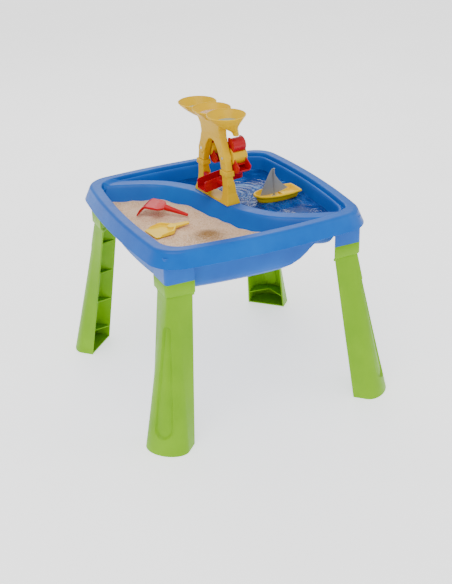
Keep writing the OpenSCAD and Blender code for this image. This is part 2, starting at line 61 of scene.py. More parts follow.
def new_mat(name):
    m = bpy.data.materials.new(name)
    m.use_nodes = True
    nt = m.node_tree
    b = nt.nodes["Principled BSDF"]
    return m, nt, b


def coords(nt, scale=1.0):
    tc = node(nt, "ShaderNodeTexCoord")
    mp = node(nt, "ShaderNodeMapping")
    mp.inputs["Scale"].default_value = (scale, scale, scale)
    nt.links.new(tc.outputs["Object"], mp.inputs["Vector"])
    return mp.outputs["Vector"]


def noise_tex(nt, vec, scale, detail=3.0, rough=0.5):
    n = node(nt, "ShaderNodeTexNoise")
    n.inputs["Scale"].default_value = scale
    n.inputs["Detail"].default_value = detail
    n.inputs["Roughness"].default_value = rough
    nt.links.new(vec, n.inputs["Vector"])
    return n


def ramp(nt, fac, stops):
    r = node(nt, "ShaderNodeValToRGB")
    el = r.color_ramp.elements
    while len(el) < len(stops):
        el.new(0.5)
    for e, (p, c) in zip(el, stops):
        e.position = p
        e.color = c
    nt.links.new(fac, r.inputs["Fac"])
    return r.outputs["Color"]


def plastic(name, base, dark=None, light=None, rough=0.34, grain=900.0, bump=0.05, sss=0.0, spec=0.5):
    """Moulded plastic: slight tone drift, fine mould grain, faint flow marks and handling scuffs in the gloss."""
    m, nt, b = new_mat(name)
    base = srgb(base)
    dark = srgb(dark) if dark else [c * 0.86 for c in base[:3]] + [1]
    light = srgb(light) if light else [min(1, c * 1.08 + 0.004) for c in base[:3]] + [1]
    v = coords(nt)
    big = noise_tex(nt, v, 9.0, 4.0, 0.55)
    col = ramp(nt, big.outputs["Fac"], [(0.3, dark), (0.5, base), (0.72, light)])
    nt.links.new(col, b.inputs["Base Color"])
    fine = noise_tex(nt, v, grain, 2.0, 0.6)
    scuff_v = coords(nt)
    st = node(nt, "ShaderNodeMapping")
    st.inputs["Scale"].default_value = (1.0, 7.0, 2.0)
    nt.links.new(scuff_v, st.inputs["Vector"])
    scuff = noise_tex(nt, st.outputs["Vector"], 60.0, 6.0, 0.65)
    rr = node(nt, "ShaderNodeMapRange")
    rr.inputs["From Min"].default_value = 0.35
    rr.inputs["From Max"].default_value = 0.75
    rr.inputs["To Min"].default_value = rough - 0.05
    rr.inputs["To Max"].default_value = rough + 0.16
    nt.links.new(scuff.outputs["Fac"], rr.inputs["Value"])
    nt.links.new(rr.outputs["Result"], b.inputs["Roughness"])
    bp = node(nt, "ShaderNodeBump")
    bp.inputs["Strength"].default_value = bump
    bp.inputs["Distance"].default_value = 0.0006
    nt.links.new(fine.outputs["Fac"], bp.inputs["Height"])
    bp2 = node(nt, "ShaderNodeBump")
    bp2.inputs["Strength"].default_value = bump * 1.5
    bp2.inputs["Distance"].default_value = 0.002
    flow = noise_tex(nt, v, 22.0, 2.0, 0.4)
    nt.links.new(flow.outputs["Fac"], bp2.inputs["Height"])
    nt.links.new(bp.outputs["Normal"], bp2.inputs["Normal"])
    nt.links.new(bp2.outputs["Normal"], b.inputs["Normal"])
    b.inputs["Specular IOR Level"].default_value = spec
    if sss:
        b.inputs["Subsurface Weight"].default_value = sss
        b.inputs["Subsurface Scale"].default_value = 0.006
        b.inputs["Subsurface Radius"].default_value = (1.0, 0.7, 0.3)
    return m


M_TRAY = plastic("tray_blue", "#0058b4", "#0051aa", "#0461be", rough=0.34, grain=700, bump=0.05, spec=0.2)
M_LEG = plastic("leg_green", "#74aa00", "#6ca200", "#7db404", rough=0.38, grain=800, bump=0.05, spec=0.16)
M_YEL = plastic("tower_yellow", "#deb200", "#d6a900", "#e4ba00", rough=0.3, grain=900, bump=0.04, spec=0.16)
M_RED = plastic("scoop_red", "#b00414", "#a20210", "#bb081a", rough=0.25, grain=900, bump=0.04, spec=0.3)
M_TRED = plastic("toy_red", "#c80416", "#bc0210", "#d40a1e", rough=0.30, grain=900, bump=0.05, spec=0.2)
M_TYEL = plastic("toy_yellow", "#f8cc00", "#f0c200", "#fbd500", rough=0.30, grain=900, bump=0.05, spec=0.16)
M_SAIL = plastic("sail_grey", "#7f8386", "#777b7e", "#888c8f", rough=0.45, grain=500, bump=0.08)
M_PLUG = plastic("plug_dark", "#20406e", rough=0.5)


def steel():
    m, nt, b = new_mat("pin_steel")
    b.inputs["Metallic"].default_value = 1.0
    v = coords(nt)
    n = noise_tex(nt, v, 400.0, 4.0)
    nt.links.new(ramp(nt, n.outputs["Fac"], [(0.3, (0.45, 0.46, 0.48, 1)), (0.7, (0.62, 0.63, 0.65, 1))]), b.inputs["Base Color"])
    b.inputs["Roughness"].default_value = 0.3
    return m


M_STEEL = steel()


def sand_material():
    m, nt, b = new_mat("play_sand")
    v = coords(nt)
    # grains: cell noise, some darker and some quartz-light; a second, coarser cell noise is made but not connected
    vo = node(nt, "ShaderNodeTexVoronoi")
    vo.inputs["Scale"].default_value = 700.0
    nt.links.new(v, vo.inputs["Vector"])
    vo2 = node(nt, "ShaderNodeTexVoronoi")
    vo2.inputs["Scale"].default_value = 330.0
    nt.links.new(v, vo2.inputs["Vector"])
    big = noise_tex(nt, v, 26.0, 5.0, 0.6)
    sep = node(nt, "ShaderNodeSeparateColor")
    nt.links.new(vo.outputs["Color"], sep.inputs["Color"])
    grain = ramp(nt, sep.outputs["Red"], [(0.0, srgb("#c09a78")), (0.3, srgb("#e4c8ac")), (0.75, srgb("#f0dac4")), (1.0, srgb("#faeee0"))])
    tone = ramp(nt, big.outputs["Fac"], [(0.3, srgb("#e2c2a0")), (0.5, srgb("#f0d8bc")), (0.7, srgb("#f8e8d4"))])
    mx = node(nt, "ShaderNodeMix", data_type="RGBA", blend_type="MULTIPLY")
    mx.inputs["Factor"].default_value = 0.62
    nt.links.new(grain, mx.inputs["A"])
    nt.links.new(tone, mx.inputs["B"])
    # painted shade: the shaded side of the mound round the heap is painted as darker sand from a mask attribute on
    # the mesh, and the cell colour breaks it into coarse grains
    at = node(nt, "ShaderNodeAttribute")
    at.attribute_name = "painted_mound_shade"
    sp = node(nt, "ShaderNodeMath", operation="MULTIPLY_ADD")
    nt.links.new(sep.outputs["Green"], sp.inputs[0])
    sp.inputs[1].default_value = 0.5
    nt.links.new(at.outputs["Fac"], sp.inputs[2])
    cl = node(nt, "ShaderNodeMapRange")
    cl.inputs["From Min"].default_value = 0.45
    cl.inputs["From Max"].default_value = 1.15
    nt.links.new(sp.outputs["Value"], cl.inputs["Value"])
    m2 = node(nt, "ShaderNodeMix", data_type="RGBA")
    nt.links.new(cl.outputs["Result"], m2.inputs["Factor"])
    nt.links.new(mx.outputs["Result"], m2.inputs["A"])
    # dark brown mixed in for the painted mound shade
    m2.inputs["B"].default_value = srgb("#8f6a3c")
    nt.links.new(m2.outputs["Result"], b.inputs["Base Color"])
    b.inputs["Roughness"].default_value = 0.95
    b.inputs["Specular IOR Level"].default_value = 0.25
    b1 = node(nt, "ShaderNodeBump")
    b1.inputs["Strength"].default_value = 0.5
    b1.inputs["Distance"].default_value = 0.0012
    nt.links.new(vo.outputs["Distance"], b1.inputs["Height"])
    b2 = node(nt, "ShaderNodeBump")
    b2.inputs["Strength"].default_value = 0.45
    b2.inputs["Distance"].default_value = 0.004
    med = noise_tex(nt, v, 120.0, 4.0, 0.6)
    nt.links.new(med.outputs["Fac"], b2.inputs["Height"])
    nt.links.new(b1.outputs["Normal"], b2.inputs["Normal"])
    nt.links.new(b2.outputs["Normal"], b.inputs["Normal"])
    return m


def water_material():
    m, nt, b = new_mat("basin_water")
    v = coords(nt)
    n1 = noise_tex(nt, v, 16.0, 4.0, 0.55)
    n1.inputs["Distortion"].default_value = 1.2
    n2 = noise_tex(nt, v, 60.0, 3.0, 0.5)
    # painted reflection: the light-blue stops paint glimmer on the ripples, following the same noise that bumps the
    # surface; the deep blues are the water's own tone
    col = ramp(nt, n1.outputs["Fac"], [(0.34, srgb("#022f7c")), (0.5, srgb("#063f92")), (0.62, srgb("#145ab2")), (0.74, srgb("#5f9bdc"))])
    nt.links.new(col, b.inputs["Base Color"])
    b.inputs["Roughness"].default_value = 0.06
    b.inputs["IOR"].default_value = 1.33
    b.inputs["Alpha"].default_value = 0.74
    bp = node(nt, "ShaderNodeBump")
    bp.inputs["Strength"].default_value = 0.35
    bp.inputs["Distance"].default_value = 0.006
    nt.links.new(n1.outputs["Fac"], bp.inputs["Height"])
    bp2 = node(nt, "ShaderNodeBump")
    bp2.inputs["Strength"].default_value = 0.2
    bp2.inputs["Distance"].default_value = 0.002
    nt.links.new(n2.outputs["Fac"], bp2.inputs["Height"])
    nt.links.new(bp.outputs["Normal"], bp2.inputs["Normal"])
    nt.links.new(bp2.outputs["Normal"], b.inputs["Normal"])
    return m


M_SAND = sand_material()
M_WATER = water_material()
M_POUR = plastic("poured_water", "#8fa79c", "#84a096", "#a2b8ae", rough=0.1, grain=120, bump=0.3, spec=0.6)

# ------------------------------------------------------------------ mesh helpers


def obj_from(name, verts, faces, mat, smooth=True):
    me = bpy.data.meshes.new(name)
    me.from_pydata([tuple(float(c) * MM for c in v) for v in verts], [], [tuple(int(i) for i in f) for f in faces])
    me.validate()
    if mat:
        me.materials.append(mat)
    o = bpy.data.objects.new(name, me)
    bpy.context.scene.collection.objects.link(o)
    if smooth:
        me.polygons.foreach_set("use_smooth", [True] * len(me.polygons))
    me.update()
    return o


def grid(nu, nv, wrap_u=False, wrap_v=False, base=0, flip=False):
    """Quads of a vertex grid stored row by row: index = j * nu + i."""
    out = []
    for j in range(nv if wrap_v else nv - 1):
        for i in range(nu if wrap_u else nu - 1):
            a, b = base + j * nu + i, base + j * nu + (i + 1) % nu
            c, d = base + ((j + 1) % nv) * nu + (i + 1) % nu, base + ((j + 1) % nv) * nu + i
            out.append((a, d, c, b) if flip else (a, b, c, d))
    return out


def apply_mods(o):
    dg = bpy.context.evaluated_depsgraph_get()
    me = bpy.data.meshes.new_from_object(o.evaluated_get(dg))
    old = o.data
    o.modifiers.clear()
    o.data = me
    bpy.data.meshes.remove(old)
    return o


def sharp_smooth(o, deg=35):
    """Smooth shading with sharp edges kept, stored on the mesh."""
    me = o.data
    me.polygons.foreach_set("use_smooth", [True] * len(me.polygons))
    bm = bmesh.new()
    bm.from_mesh(me)
    lim = math.radians(deg)
    for e in bm.edges:
        if len(e.link_faces) == 2:
            e.smooth = e.calc_face_angle(0) < lim
    bm.to_mesh(me)
    bm.free()
    return o


def organic(o, voxel, smooth=3, factor=0.5):
    """Rounds every edge of closed, overlapping shells as a mould does: voxel union, then smoothing."""
    r = o.modifiers.new("r", "REMESH")
    r.mode = "VOXEL"
    r.voxel_size = voxel * MM
    r.use_smooth_shade = True
    s = o.modifiers.new("s", "SMOOTH")
    s.factor = factor
    s.iterations = smooth
    apply_mods(o)
    return o


def join(objs, name):
    bms = bmesh.new()
    for o in objs:
        me = o.data
        tmp = bmesh.new()
        tmp.from_mesh(me)
        tmp.transform(o.matrix_world)
        t = bpy.data.meshes.new("t")
        tmp.to_mesh(t)
        tmp.free()
        bms.from_mesh(t)
        bpy.data.meshes.remove(t)
    me = bpy.data.meshes.new(name)
    bms.to_mesh(me)
    bms.free()
    mat = objs[0].data.materials[0] if objs[0].data.materials else None
    for o in objs:
        bpy.data.objects.remove(o)
    if mat:
        me.materials.append(mat)
    out = bpy.data.objects.new(name, me)
    bpy.context.scene.collection.objects.link(out)
    me.polygons.foreach_set("use_smooth", [True] * len(me.polygons))
    return out


def cut(o, tool, keep=False, op="DIFFERENCE"):
    b = o.modifiers.new("b", "BOOLEAN")
    b.operation = op
    b.solver = "EXACT"
    b.object = tool
    apply_mods(o)
    if not keep:
        bpy.data.objects.remove(tool)
    return o


def prism(name, poly, z0, z1, mat=None, fn=None):
    """Upright prism of a plan polygon given anticlockwise; fn maps a point to its place."""
    n = len(poly)
    v = [(p[0], p[1], z0) for p in poly] + [(p[0], p[1], z1) for p in poly]
    f = [tuple(range(n))[::-1], tuple(range(n, 2 * n))] + [(i, (i + 1) % n, n + (i + 1) % n, n + i) for i in range(n)]
    if fn:
        v = [fn(p) for p in v]
    return obj_from(name, v, f, mat, smooth=False)


def lathe(name, prof, n, mat, fn=None, smooth=True):
    """Closed solid of revolution about z: prof is (r, z) from the bottom axis point to the top axis point."""
    v, f = [], []
    rows = []
    for r, z in prof:
        if r < 1e-6:
            rows.append([len(v)])
            v.append((0, 0, z))
        else:
            rows.append(list(range(len(v), len(v) + n)))
            v += [(r * math.cos(2 * math.pi * i / n), r * math.sin(2 * math.pi * i / n), z) for i in range(n)]
    for a, b in zip(rows[:-1], rows[1:]):
        for i in range(n):
            j = (i + 1) % n
            if len(a) == 1 and len(b) == 1:
                continue
            if len(a) == 1:
                f.append((a[0], b[j], b[i]))
            elif len(b) == 1:
                f.append((a[i], a[j], b[0]))
            else:
                f.append((a[i], a[j], b[j], b[i]))
    if fn:
        v = [fn(p) for p in v]
    return obj_from(name, v, f, mat, smooth)


def finish_piece(o, body, slot, *nodes):
    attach(o, body)
    if nodes:
        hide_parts(*nodes)
    return o


def sstep(a, b, x):
    t = np.clip((x - a) / (b - a), 0, 1)
    return t * t * (3 - 2 * t)


def smax(a, b, k):
    h = np.clip(0.5 + 0.5 * (a - b) / k, 0, 1)
    return b + (a - b) * h + k * h * (1 - h)


# ------------------------------------------------------------------ tray


def outline(h, b, r, ns=56, na=24):
    """Rounded square with bowed sides, anticlockwise, ns + na points a quarter; r holds the four corner radii."""
    out = []
    for k in range(4):
        ends = []
        for rk in (r[k - 1], r[k]):
            a0 = math.atan(2 * b / max(h - b - rk, 1e-3))
            c = h - b - rk * math.cos(a0)
            ends.append((a0, c, c + rk * math.sin(a0)))
        y0, y1 = ends[0][2], ends[1][2]
        a0, c = ends[1][0], ends[1][1]
        pts = [(h - b * t * t, (y1 if t > 0 else y0) * t) for t in np.linspace(-1, 1, ns, endpoint=False)]
        pts += [(c + r[k] * math.cos(a), c + r[k] * math.sin(a)) for a in np.linspace(a0, math.pi / 2 - a0, na, endpoint=False)]
        q = np.array(pts)
        cs, sn = [(1, 0), (0, 1), (-1, 0), (0, -1)][k]
        out.append(np.stack([q[:, 0] * cs - q[:, 1] * sn, q[:, 0] * sn + q[:, 1] * cs], 1))
    return np.vstack(out)


def family(h):
    """Bulge and corner radii of the ring whose mid-side distance is h; the water corner is tighter."""
    b = 11.6 * min(1.0, max(h, 1) / 200)
    wide = 71 - (275 - h) * 0.72 if h > 247 else min(50.84 + (247 - h) * 0.1, 0.75 * h)
    tight = 71 - (275 - h) * 0.72 if h > 225 else min(35.0, 0.75 * h)
    return b, (tight, wide, wide, wide)


HALF = [(-300, 262), (-258, 244), (-215, 226), (-167, 207), (-120, 186), (-75, 155), (-46, 121), (-21, 78), (-7, 28)]
CTRL = np.array(HALF + [(-x, -y) for x, y in HALF[::-1]], float)


def s_line(steps=14):
    out = []
    for i in range(1, len(CTRL) - 2):
        p0, p1, p2, p3 = CTRL[i - 1 : i + 3]
        for k in range(steps):
            t = k / steps
            out.append(0.5 * (2 * p1 + t * (p2 - p0) + t * t * (2 * p0 - 5 * p1 + 4 * p2 - p3) + t**3 * (3 * p1 - 3 * p2 + p3 - p0)))
    out.append(CTRL[-2])
    return np.array(out)


S_PTS = s_line()


def s_dist(p):
    """Signed distance to the dividing wall's middle line, positive on the sand side."""
    p = np.asarray(p, float)
    best = np.full(len(p), 1e9)
    sign = np.ones(len(p))
    for a, b in zip(S_PTS[:-1], S_PTS[1:]):
        d = b - a
        L = np.hypot(*d)
        t = np.clip(((p - a) @ d) / L**2, 0, 1)
        q = p - (a + t[:, None] * d)
        dist = np.hypot(q[:, 0], q[:, 1])
        side = q @ np.array([d[1], -d[0]]) / L
        m = dist < best
        best[m] = dist[m]
        sign[m] = np.where(side[m] >= 0, 1, -1)
    return best * sign


SAND_H = np.array([0, 203, 210, 217, 223, 227.5, 230, 236.4, 237.0, 237.4, 238.0, 239.0, 240.2, 247.0, 300])
SAND_Z = np.array([353, 353, 354, 357.5, 364, 374, 386, 452.0, 457.5, 460.2, 461.8, 462.7, 463.0, 463.0, 463])
WAT_H = np.array([0, 195, 202, 208, 213, 217, 219.5, 227.2, 228.2, 229.2, 230.6, 232.4, 234.0, 235.2, 236.6, 237.3, 237.8, 238.2, 238.9, 239.9, 241.2, 300])
WAT_Z = np.array([353, 353, 354, 357.5, 364, 374, 386, 449.0, 453.0, 455.0, 456.0, 455.8, 454.4, 452.4, 451.6, 452.6, 456.5, 460.2, 461.9, 462.8, 463.0, 463])
DIV_D = np.array([0, 12, 15, 17, 18.6, 20.5, 56, 62, 69, 78, 90, 900])
DIV_Z = np.array([455.2, 455.0, 454.4, 453.0, 450.6, 446.6, 375.6, 365.5, 358.5, 354.6, 353, 353])


def tray_top(xy, h):
    d = s_dist(xy)
    sand = np.interp(h, SAND_H, SAND_Z)
    wat = np.interp(h, WAT_H, WAT_Z)
    r = np.where(d > 0, sand, wat)
    mixw = sstep(-14, 14, d)
    near = np.abs(d) < 14
    r = np.where(near, wat * (1 - mixw) + sand * mixw, r)
    dv = np.interp(np.abs(d), DIV_D, DIV_Z)
    # the wall's top rises into the rim at both ends
    rise = 7.8 * sstep(228, 240, h) * sstep(19, 13, np.abs(d))
    dv = dv + rise
    hi = np.maximum(r, dv)
    k = np.interp(hi, [353, 380, 420, 448, 458], [10, 16, 8, 2.5, 1.2])
    z = smax(r, dv, k)
    return np.minimum(z, 463.0)


def tray_under(xy, h):
    d = s_dist(xy)
    hs = h - 4.0
    r = np.where(d > 0, np.interp(hs, SAND_H, SAND_Z), np.interp(hs, WAT_H, WAT_Z))
    dv = np.interp(np.abs(d) + 4.5, DIV_D, DIV_Z)
    z = smax(r, dv, 4) - 4.2
    return np.minimum(z, 450.8)


def build_tray():
    hs = np.concatenate([np.linspace(6, 186, 76), np.arange(188.5, 214, 1.5), np.arange(214.2, 235.4, 0.75), np.arange(235.6, 241.3, 0.38), np.arange(241.8, 249.5, 1.4)])
    outer = [(251, 463.0), (253.5, 463.0), (255.4, 462.9), (257, 462.6), (258.4, 462.1), (259.6, 461.5), (260.7, 460.7), (261.7, 459.7), (262.6, 458.4), (263.4, 456.7), (264.2, 454.5), (266.2, 449.5), (268.2, 444.5), (270.2, 439.6), (272.2, 434.6), (274.2, 429.6), (274.9, 428.2), (275.0, 427.7), (274.6, 427.4), (273.4, 427.3), (271.8, 427.4), (271.1, 427.9)]
    inner = [(270.4, 430), (268.8, 437), (266.5, 443), (263.4, 449), (261.5, 450.6)]
    verts, ring_n = [], None
    rows = 0
    for h in hs:
        b, r = family(h)
        xy = outline(h, b, r)
        ring_n = len(xy)
        verts.append(np.column_stack([xy, tray_top(xy, np.full(len(xy), h))]))
        rows += 1
    for h, z in outer + inner:
        b, r = family(h)
        xy = outline(h, b, r)
        verts.append(np.column_stack([xy, np.full(len(xy), z)]))
        rows += 1
    under = np.concatenate([np.arange(259, 215, -1.0), np.arange(214, 186, -2.0), np.linspace(184, 6, 60)])
    for h in under:
        b, r = family(h)
        xy = outline(h, b, r)
        verts.append(np.column_stack([xy, tray_under(xy, np.full(len(xy), h))]))
        rows += 1
    V = np.vstack(verts)
    F = grid(ring_n, rows, wrap_u=True)
    c0, c1 = len(V), len(V) + 1
    z_top = tray_top(np.array([[0.0, 0.0]]), np.array([0.0]))[0]
    z_und = tray_under(np.array([[0.0, 0.0]]), np.array([0.0]))[0]
    V = np.vstack([V, [[0, 0, z_top], [0, 0, z_und]]])
    for i in range(ring_n):
        j = (i + 1) % ring_n
        F.append((c0, i, j))
        F.append((c1, (rows - 1) * ring_n + j, (rows - 1) * ring_n + i))
    # faces run outwards from the centre; they are not flipped here, and the normals are recalculated once the tray is
    # built
    top = obj_from("tray_shell", V, F, M_TRAY)
    parts = [top]
    # corner posts, hollow, with a spigot into each collar
    for q in range(4):
        a = math.radians(90 * q)

        def place(p, a=a):
            return (p[0] * math.cos(a) - p[1] * math.sin(a), p[0] * math.sin(a) + p[1] * math.cos(a), p[2])

        parts.append(post_piece("post%d" % q, (241, 68, 3, 9), 386, 449, place))
        parts.append(post_piece("spigot%d" % q, (236.6, 55, 0.6, 7), 361, 388, place))
    o = join(parts, "tray_moulding")
    return o


def post_plan(x, l, e, r, n=10):
    pts = [(-x + l, -x), (-x + l, -x + e), (-x + e, -x + l), (-x, -x + l)]
    pts += [(-x + r + r * math.cos(a), -x + r + r * math.sin(a)) for a in np.linspace(math.pi, 1.5 * math.pi, n + 1)]
    return pts


def post_piece(name, plan, z0, z1, place):
    """Tube of a post plan with 3.6 mm walls, rounded at its lower edge."""
    n = 10
    outer, inner = post_plan(*plan, n), post_plan(233, 43, 0.4, 5, n)
    m = len(outer)
    cen = np.mean(outer, axis=0)
    rows = []
    for z, inset, use in ((z1, 0, outer), (z0 + 1.2, 0, outer), (z0 + 0.35, 0.35, outer), (z0, 1.2, outer), (z0, 0, inner), (z1, 0, inner)):
        rr = []
        for p in use:
            d = np.array(p) - cen
            L = np.hypot(*d)
            s = (L - inset) / L
            rr.append((cen[0] + d[0] * s, cen[1] + d[1] * s, z))
        rows.append(rr)
    v = [place(p) for row in rows for p in row]
    f = grid(m, len(rows), wrap_u=True, wrap_v=True, flip=True)
    o = obj_from(name, v, f, M_TRAY, smooth=False)
    return o


# ------------------------------------------------------------------ legs
NOSE0, SPLAY, LEG_TOP, LEG_TW, LEG_W, LEG_T = (241 - 6) * math.sqrt(2), 80.0, 358.0, 82.0, 104.0, 4.0


def lerp(a, b, t):
    return a + (b - a) * t


def leg_line(t, u, g=0.0):
    s = t
    dd, hw = lerp(LEG_TW / 2, 66, t), lerp(LEG_TW, LEG_W, t) / 2
    au = np.abs(u)
    cd = (np.sqrt(u * u + 0.006) - 0.0775) / 0.9255
    ud = np.where(au < 0.55, 0.53 * (1 - np.cos(np.minimum(au / 0.55, 1) * math.pi / 2)), 0.53 + 0.47 * (au - 0.55) / 0.45)
    uw = np.where(au < 0.55, np.sign(u) * np.sin(np.minimum(au / 0.55, 1) * math.pi / 2), np.sign(u))
    d = lerp(NOSE0, NOSE0 + SPLAY, t) - g - (dd - g) * lerp(cd, ud, s)
    w = (hw - g) * lerp(u, uw, s)
    return np.stack([d, w], -1)


def recess_depth(w, z):
    """Depth of the long tapered recess in the nose, widening downwards with round ends."""
    zt, zb, rt, rb = LEG_TOP * 0.79, LEG_TOP * 0.17, 9.0, 21.0
    t = np.clip((zt - z) / (zt - zb), 0, 1)
    r = rt + (rb - rt) * t
    zc = zt - (zt - zb) * t
    dist = np.hypot(w, z - zc) - r
    return 4.6 * sstep(0.9, -1.3, dist)


def build_leg(name, ang):
    nu, nz = 161, 250
    u = np.linspace(-1, 1, nu)
    rows_o, rows_i = [], []
    zs = np.concatenate([[0.0, 0.4, 1.2], np.linspace(3, LEG_TOP - 2, nz - 4), [LEG_TOP]])
    ca, sa = math.cos(math.radians(ang)), math.sin(math.radians(ang))
    for z in zs:
        t = 1 - z / LEG_TOP
        p = leg_line(t, u)
        tan = np.gradient(p, axis=0)
        tan /= np.hypot(tan[:, 0], tan[:, 1])[:, None]
        n = np.stack([-tan[:, 1], tan[:, 0]], 1)
        dep = recess_depth(p[:, 1], z)
        edge = 0.9 * sstep(1.4, 0.0, z)
        po = p + n * (dep + edge)[:, None]
        pi = p + n * (dep + LEG_T)[:, None]
        rows_o.append(np.column_stack([po, np.full(nu, z)]))
        rows_i.append(np.column_stack([pi, np.full(nu, z)]))
    # closed loop in plan: outer from u=-1 to 1, then a rounded lip, then inner back
    V = []
    for ro, ri in zip(rows_o, rows_i):
        lip_b = (ro[-1] * 0.5 + ri[-1] * 0.5)
        lip_a = (ro[0] * 0.5 + ri[0] * 0.5)
        db = ro[-1] - ro[-3]
        da = ro[0] - ro[2]
        lip_b = lip_b + db / max(np.linalg.norm(db), 1e-6) * 0.9
        lip_a = lip_a + da / max(np.linalg.norm(da), 1e-6) * 0.9
        V.append(np.vstack([ro, [lip_b], ri[::-1], [lip_a]]))
    m = len(V[0])
    rows = len(V)
    V = np.vstack(V)
    F = grid(m, rows, wrap_u=True)
    # end caps as strips between outer and inner
    for base, flip in ((0, True), ((rows - 1) * m, False)):
        for i in range(nu - 1):
            a, b = base + i, base + i + 1
            c, d = base + 2 * nu - (i + 1), base + 2 * nu - i
            q = (a, b, c, d)
            F.append(q[::-1] if flip else q)
        t1 = (base + nu - 1, base + nu, base + nu + 1)
        t2 = (base + 2 * nu, base + 2 * nu + 1, base)
        for tt in (t1, t2):
            F.append(tt[::-1] if flip else tt)

    def place(p):
        return (p[0] * ca - p[1] * sa, p[0] * sa + p[1] * ca, p[2])

    wall = obj_from(name + "_wall", [place(p) for p in V], F, M_LEG)
    parts = [wall]
    # shelves with a free edge drawn back to a point, and the foot's sole
    levels = [33 + k * (LEG_TOP - 99) / 3 for k in range(4)]
    for zl in levels:
        parts.append(shelf(name + "_shelf", zl, 3.0, place))
    parts.append(shelf(name + "_sole", 0.3, 3.6, place, sole=True))
    o = join(parts, name + "_moulding")

    # collar
    a2 = math.radians(ang - 225)

    def place2(p):
        return (p[0] * math.cos(a2) - p[1] * math.sin(a2), p[0] * math.sin(a2) + p[1] * math.cos(a2), p[2])

    col = collar(name + "_collar", place2)
    return join([o, col], name + "_moulding")


def shelf(name, z0, th, place, sole=False):
    t = 1 - z0 / LEG_TOP
    u = np.linspace(-1, 1, 61)
    p = leg_line(t, u)
    tan = np.gradient(p, axis=0)
    tan /= np.hypot(tan[:, 0], tan[:, 1])[:, None]
    n = np.stack([-tan[:, 1], tan[:, 0]], 1)
    dep = recess_depth(p[:, 1], z0 + th / 2)
    q = p + n * (dep + LEG_T - 1.0)[:, None]
    if sole:
        front = [(q[-1][0] + 1.5, q[-1][1]), (q[0][0] + 1.5, q[0][1])]
        front = []
    else:
        tip = lerp(308.0, 385.0, t)
        ends = (q[-1], q[0])
        front = [lerp(ends[0], np.array([tip, 0.0]), s) for s in (0.35, 0.7, 0.93)] + [np.array([tip, 0.0])] + [lerp(np.array([tip, 0.0]), ends[1], s) for s in (0.07, 0.3, 0.65)]
    poly = [tuple(a) for a in q] + [tuple(a) for a in front]
    m = len(poly)
    e = 0.5
    cen = np.mean(np.array(poly), axis=0)

    def ins(p, k):
        d = np.array(p) - cen
        return tuple(cen + d * (1 - k / max(np.hypot(*d), 1)))

    rows = [[(*ins(p, e), z0) for p in poly], [(*p, z0 + e) for p in poly], [(*p, z0 + th - e) for p in poly], [(*ins(p, e), z0 + th) for p in poly]]
    v = [place(p) for r in rows for p in r]
    f = grid(m, 4, wrap_u=True)
    f.append(tuple(range(m))[::-1])
    f.append(tuple(range(3 * m, 4 * m)))
    return obj_from(name, v, f, M_LEG, smooth=False)


def collar(name, place):
    """The socket round the post: flush with it outside, standing 6 mm proud of the leg, with a soft lower edge."""
    def plan(x, l, e, r):
        return post_plan(x, l, e, r, 10)

    steps = [(LEG_TOP - 9.0, 235.4, 62, 1.4, 7.6), (LEG_TOP - 4.5, 236.2, 63, 1.8, 7.8), (LEG_TOP - 2.0, 238.2, 65, 2.2, 8.2), (LEG_TOP - 0.4, 240.2, 67, 2.7, 8.7), (LEG_TOP + 1.4, 241, 68, 3, 9),
             (385.3, 241, 68, 3, 9), (385.9, 240.6, 67.6, 2.8, 8.8), (386.0, 239.9, 67, 2.5, 8.4), (386.0, 237.4, 57.5, 1.3, 7.4), (385.4, 236.9, 56, 1, 7.2), (LEG_TOP, 236.9, 56, 1, 7.2), (LEG_TOP, 230.5, 42, 0.4, 5), (LEG_TOP - 9.0, 230.5, 42, 0.4, 5)]
    rows = [[(x_, y_, z) for x_, y_ in plan(x, l, e, r)] for z, x, l, e, r in steps]
    v = [place(p) for r in rows for p in r]
    f = grid(len(rows[0]), len(rows), wrap_u=True, wrap_v=True)
    return obj_from(name, v, f, M_LEG, smooth=False)


# ------------------------------------------------------------------ tower
TA = math.radians(7)
UV = np.array([[math.sin(TA), -math.cos(TA)], [math.cos(TA), math.sin(TA)]])


def T(p):
    """Tower place (u, v, height above the dividing wall) to the row frame in mm."""
    u, v, z = p
    return (3 + u * UV[0, 0] + v * UV[1, 0], 16 + u * UV[0, 1] + v * UV[1, 1], DECK + z)


FRAME_OUT = [(-72, 0), (72, 0), (71, 7), (66, 26), (63, 80), (61, 92), (58, 108), (49, 134), (42, 156), (41, 172), (47, 186), (58, 202), (60, 208), (-60, 208), (-58, 202), (-47, 186), (-41, 172), (-42, 156), (-49, 134), (-58, 108), (-61, 92), (-63, 80), (-66, 26), (-71, 7)]
WINDOW = [(-44, 10), (-36, 5), (36, 5), (44, 10), (43, 30), (42, 52), (39, 76), (34, 100), (24, 124), (12, 139), (0, 143), (-12, 139), (-24, 124), (-34, 100), (-39, 76), (-42, 52), (-43, 30)]
SIDE = [(-19, 0), (17, 0), (16, 6), (11, 28), (9, 46), (4, 62), (4, 172), (12, 208), (-28, 208), (-19, 184), (-13, 150), (-12, 60), (-12, 40), (-14, 22), (-18, 6)]


def extrude_v(name, poly, v0, v1):
    n = len(poly)
    pts = [(p[0], v0, p[1]) for p in poly] + [(p[0], v1, p[1]) for p in poly]
    f = [tuple(range(n)), tuple(range(n, 2 * n))[::-1]] + [(i, n + i, n + (i + 1) % n, (i + 1) % n) for i in range(n)]
    return obj_from(name, [T(p) for p in pts], f, M_YEL, smooth=False)


def extrude_u(name, poly, u0, u1):
    n = len(poly)
    pts = [(u0, p[0], p[1]) for p in poly] + [(u1, p[0], p[1]) for p in poly]
    f = [tuple(range(n))[::-1], tuple(range(n, 2 * n))] + [(i, (i + 1) % n, n + (i + 1) % n, n + i) for i in range(n)]
    return obj_from(name, [T(p) for p in pts], f, M_YEL, smooth=False)


